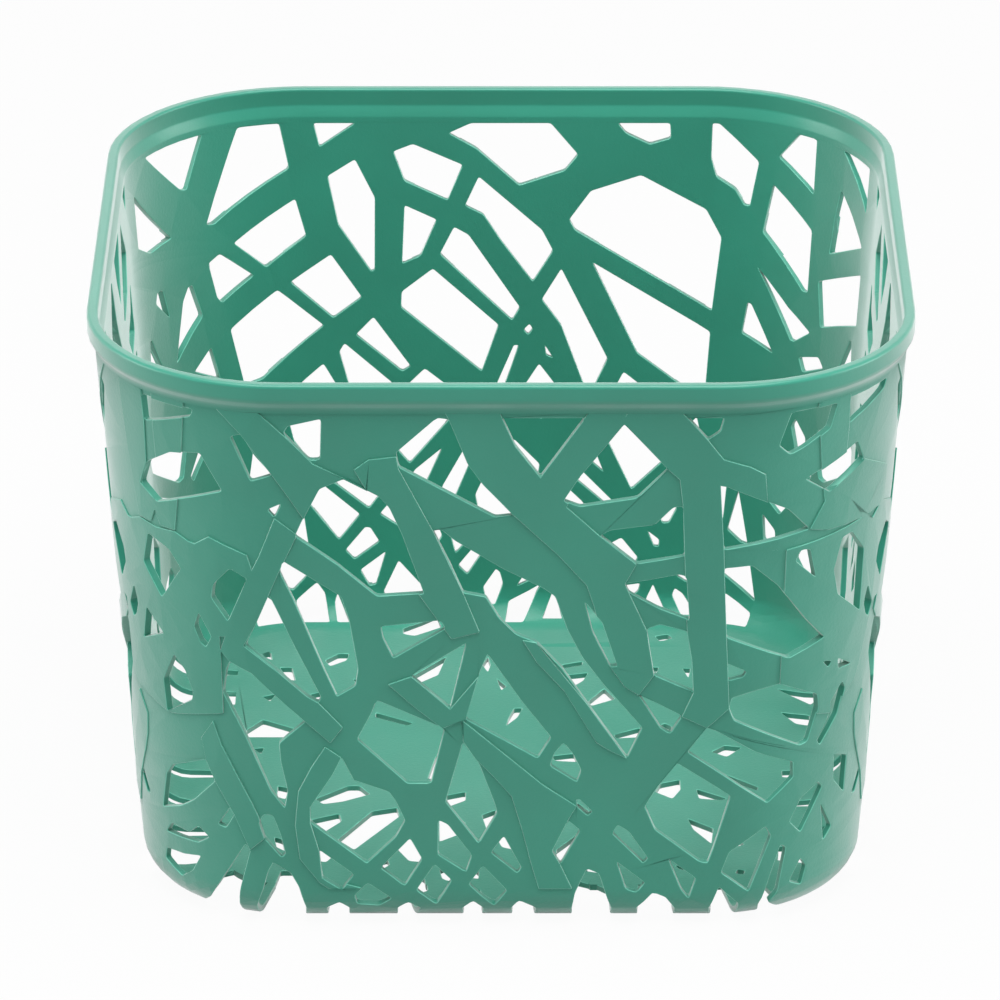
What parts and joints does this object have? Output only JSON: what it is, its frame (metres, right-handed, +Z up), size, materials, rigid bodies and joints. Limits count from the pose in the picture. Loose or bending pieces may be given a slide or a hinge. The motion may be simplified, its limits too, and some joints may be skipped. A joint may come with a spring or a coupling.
{
  "type": "storage basket",
  "caption": "Open-top square storage basket in one-piece moulded plastic, with irregular branch-like openwork walls, rounded corners and a turned rim.",
  "frame": {"origin": "centre of the footprint on the surface that the basket stands on", "axes": "+Z up through the open top, -Y towards the front wall, +X to the right seen from the front"},
  "size_m": [0.28, 0.28, 0.208],
  "materials": {
    "plastic": "satin"
  },
  "bodies": {
    "root": {"rim": "plastic", "front_left_corner": "plastic", "front_wall": "plastic", "front_left_corner_foot": "plastic", "front_foot": "plastic", "front_right_corner": "plastic", "right_wall": "plastic", "front_right_corner_foot": "plastic", "right_foot": "plastic", "back_right_corner": "plastic", "back_wall": "plastic", "back_right_corner_foot": "plastic", "back_foot": "plastic", "back_left_corner": "plastic", "left_wall": "plastic", "back_left_corner_foot": "plastic", "left_foot": "plastic", "floor": "plastic"}
  },
  "joints": []
}
